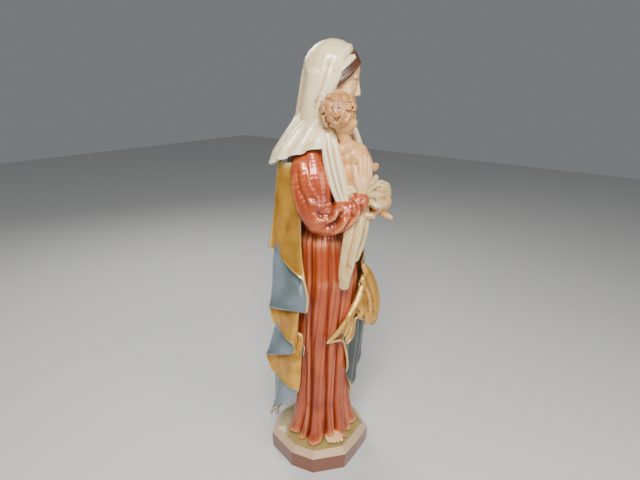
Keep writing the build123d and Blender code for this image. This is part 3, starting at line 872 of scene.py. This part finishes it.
gouge(piece, [
    ([(22, -60, 292), (30, -66, 262), (33, -70, 228)], 2.4, -3.4),
    ([(38, -62, 280), (47, -64, 250), (47, -66, 230)], 2.2, -1.8),
    ([(14, -60, 274), (19, -66, 252), (20, -66, 232)], 2.4, -3.2),
    ([(20, -58, 288), (4, -58, 262), (-10, -52, 244), (-30, -40, 214)], 2.4, 1.0),
    ([(2, -56, 250), (3, -58, 238)], 2.4, -2.4),
    ([(-8, -56, 232), (-16, -50, 214), (-20, -47, 204)], 1.8, -2.0),
])
relax(piece, 1)
finishPiece(piece, [paints["oldGold"]], "gilding", "mantle_turned_edge", reach=14, depth=1.4)
edge = [(52, -60, 244), (50, -62, 228), (41, -64, 216), (29, -63, 216), (20, -59, 226), (11, -58, 230),
    (2, -55, 235), (-2, -54, 227),
        (-3, -54, 213), (-9, -52, 203), (-16, -49, 200), (-21, -45, 206), (-28, -40, 206), (-37, -33, 205)]
piece = modelClay("turnedEdgeRim", limbs=[[(*point, 1.8) for point in edge]], voxel=0.6, rounds=2)
finishPiece(piece, [paints["hemGold"]], "gilding")


# ---- child ----

childPose = {"place": (-30, -37, 511), "turn": 62, "tip": 4}
childFrame = localFrame(childPose["place"],
    childPose["turn"]) @ Matrix.Rotation(math.radians(-childPose["tip"]), 4, "X")
piece = modelClay("childHead", where=childFrame, balls=[
    ((0, -2, 4), (19.5, 21, 20)), ((0, 7, -7), (16, 14, 16)), ((9, 12, -8), (7, 7, 7)),
    ((-9, 12, -8), (7, 7, 7)),
    ((0, 14, -18), (6, 6, 5)), ((0, 22, -6), (2.6, 3.4, 2.6)), ((2.2, 20, -7.4), (1.8, 2.2, 1.6)),
    ((-2.2, 20, -7.4), (1.8, 2.2, 1.6)),
], limbs=[
    [(0, 18, 3, 2), (0, 20, -4, 2.2)], [(-4.5, 18.2, -12, 1), (0, 20, -11.4, 1.5), (4.5, 18.2, -12, 1)],
    [(-3.6, 18, -13.6, 1), (0, 19.4, -14, 1.5), (3.6, 18, -13.6, 1)], [(-20, -2, -4, 3), (-21, 0, 2, 2.6)],
    [(20, -2, -4, 3), (21, 0, 2, 2.6)],
], voxel=0.6, rounds=4)
gouge(piece, [
    ([(-10, 16, 0), (-5, 19, 0)], 2.4, -1.7), ([(10, 16, 0), (5, 19, 0)], 2.4, -1.7),
], childFrame)
gouge(piece, [
    ([(-9.5, 16.5, 0), (-7, 18, 1.4), (-4.5, 18.2, 0)], 0.9, 0.9),
    ([(9.5, 16.5, 0), (7, 18, 1.4), (4.5, 18.2, 0)], 0.9, 0.9),
    ([(-4, 19, -12.7), (0, 20, -12.6), (4, 19, -12.7)], 0.7, -0.8),
], childFrame)
finishPiece(piece, [paints["childFlesh"]], "flesh_paint", reach=8, depth=1)

paintFace("child", childFrame, {"eye": (6.4, 15.8, 0.4, 2.6), "mouth": (3.8, 20.4, -12.4, 1.1),
    "skin": "childFlesh"})

rng = np.random.default_rng(7)
curls = []
for row, (lift, count) in enumerate([(72, 4), (48, 9), (24, 12), (0, 13), (-24, 10), (-44, 7)]):
    for k in range(count):
        spin = 360 * (k + 0.5 * (row % 2)) / count + rng.uniform(-8, 8)
        if lift < 40 and abs((spin + 180) % 360 - 180) < (62 if lift > 10 else 84):
            continue  # leave the face bare
        a, b = math.radians(spin), math.radians(lift + rng.uniform(-4, 4))
        away = Vector((math.sin(a) * math.cos(b), math.cos(a) * math.cos(b), math.sin(b)))
        spot = Vector((away.x * 20.5, away.y * 22 - 2, away.z * 21 + 4))
        side = away.cross(Vector((0, 0, 1))).normalized()
        top = side.cross(away)
        hand = 1 if (k + row) % 2 else -1
        curl = []
        for t in np.linspace(0, 1, 8):  # a flat spiral that rises to its middle
            r = 4.9 * (1 - 0.8 * t)
            w = hand * (0.6 + 8.6 * t) + spin
            curl.append((*(spot + side * r * math.cos(w) + top * r * math.sin(w) + away * (0.4 + 1.9 * t)),
                1.75 - 0.5 * t))
        curls.append(curl)
piece = modelClay("childCurls", where=childFrame, balls=[((0, -3, 5), (20, 20.5, 20.5))], limbs=curls,
    voxel=0.6, rounds=1,
                  cut=[((0, 11, 0), (0, 0.93, -0.36))])
finishPiece(piece, [paints["childHair"]], "child_hair_paint", "child_head", reach=6, depth=0.8)

piece = modelClay("childBody", balls=[
    ((-12, -45, 422), (18, 15, 18), (0, 0, -55)), ((-12, -46, 440), (18, 14.5, 20), (0, 0, -55)),
    ((-11, -46, 460), (20.5, 13.5, 17), (0, 0, -55)), ((-18, -41, 472), (12, 10, 12), (0, 0, -55)),
], limbs=[
    [(-24, -38, 470, 7), (-16, -43, 474, 8), (-6, -50, 470, 7.5)],
    [(-21, -40, 482, 8), (-26, -38, 496, 8)],
    [(-5, -53, 469, 7.6), (2, -56, 460, 6.8), (9, -58, 450, 5.8), (16, -60, 445, 5), (22, -60, 444, 4.2),
    (26, -59, 446, 3.8)],
    [(-20, -34, 470, 6.5), (-8, -30, 464, 5.8), (6, -34, 462, 5), (16, -36, 466, 4.2), (21, -36, 470, 3.6)],
    [(31, -71, 408, 7), (34, -74, 398, 6.2), (31, -71, 389, 4.8), (29, -70, 384, 4.6), (33, -76, 380, 4),
    (36, -80, 378, 3.2)],
    [(40, -58, 410, 6.6), (42, -58, 398, 6), (40, -57, 389, 4.8), (40, -60, 384, 4.4), (43, -66, 381, 3.6),
    (45, -69, 380, 3)],
], voxel=0.7, rounds=5)
gouge(piece, [
    ([(-24, -54, 424), (-26, -53, 445), (-27, -50, 464)], 2.4, -1.5),
    ([(-34, -46, 462), (-29, -52, 458)], 3.4, 1.2),
    ([(-14, -58, 462), (-20, -56, 456)], 3.4, 1.2), ([(-30, -46, 428), (-18, -56, 424)], 2.2, -1.0),
])
finishPiece(piece, [paints["childFlesh"]], "flesh_paint", "child_torso", "child_right_leg", "child_left_leg",
    "child_right_arm", "child_left_arm")

piece = modelClay("wrapCloth", limbs=[
    [(-17, -45, 408, 11), (-10, -49, 410, 15), (-2, -52, 412, 18), (12, -58, 411, 17), (24, -64, 412, 14),
    (32, -68, 413, 11)],
    [(-26, -50, 416, 4), (-18, -58, 420, 5), (-6, -63, 424, 5), (6, -66, 429, 5), (14, -66, 433, 4)],
    [(-22, -54, 412, 4), (-12, -61, 417, 5), (0, -66, 420, 5), (12, -70, 426, 4)],
    [(10, -70, 400, 8), (22, -74, 398, 7), (32, -74, 400, 6)],
    [(34, -60, 414, 10), (40, -58, 412, 8)],
    [(28, -66, 422, 6), (36, -70, 418, 6), (39, -72, 408, 5)],
], voxel=0.9, rounds=4)
gouge(piece, [
    ([(-30, -56, 418), (-16, -64, 412), (0, -72, 408), (16, -78, 402)], 2.4, -2.6),
    ([(-30, -56, 410), (-14, -64, 404), (2, -72, 400), (18, -78, 396)], 2.4, 2.0),
    ([(-26, -56, 400), (-10, -64, 396), (8, -70, 392)], 2.2, -2.4),
    ([(0, -68, 420), (14, -74, 416), (28, -78, 412)], 2.2, -2.0),
    ([(8, -70, 426), (20, -74, 424), (32, -76, 420)], 2.2, 1.6),
])
relax(piece, 1)
finishPiece(piece, [paints["creamCloth"]], "cream_paint", "cloth_wrap", reach=12)

piece = modelClay("clothTail", limbs=[
    ([(-8, -54, 398, 13), (-14, -56, 380, 14), (-20, -56, 358, 13), (-26, -54, 334, 10.5),
    (-29, -52, 312, 9), (-28, -51, 293, 7)],
     0.5, (-0.75, -0.66, 0)),
    ([(0, -58, 392, 8), (-4, -60, 372, 9), (-8, -60, 352, 8), (-15, -58, 330, 6)], 0.6, (-0.75, -0.66, 0)),
], voxel=0.9, rounds=4)
gouge(piece, [
    ([(-20, -60, 386), (-24, -60, 360), (-30, -57, 334), (-31, -56, 304)], 2.2, -2.4),
    ([(-12, -62, 388), (-16, -62, 362), (-22, -59, 338), (-26, -57, 300)], 2.2, 1.8),
    ([(-4, -64, 386), (-9, -65, 362), (-16, -62, 340)], 2.0, -2.2),
    ([(-30, -56, 322), (-22, -58, 316)], 2, -1.6),
])
relax(piece, 1)
finishPiece(piece, [paints["creamCloth"]], "cream_paint", "cloth_tail", reach=12)

bpy.data.objects.remove(pellet)
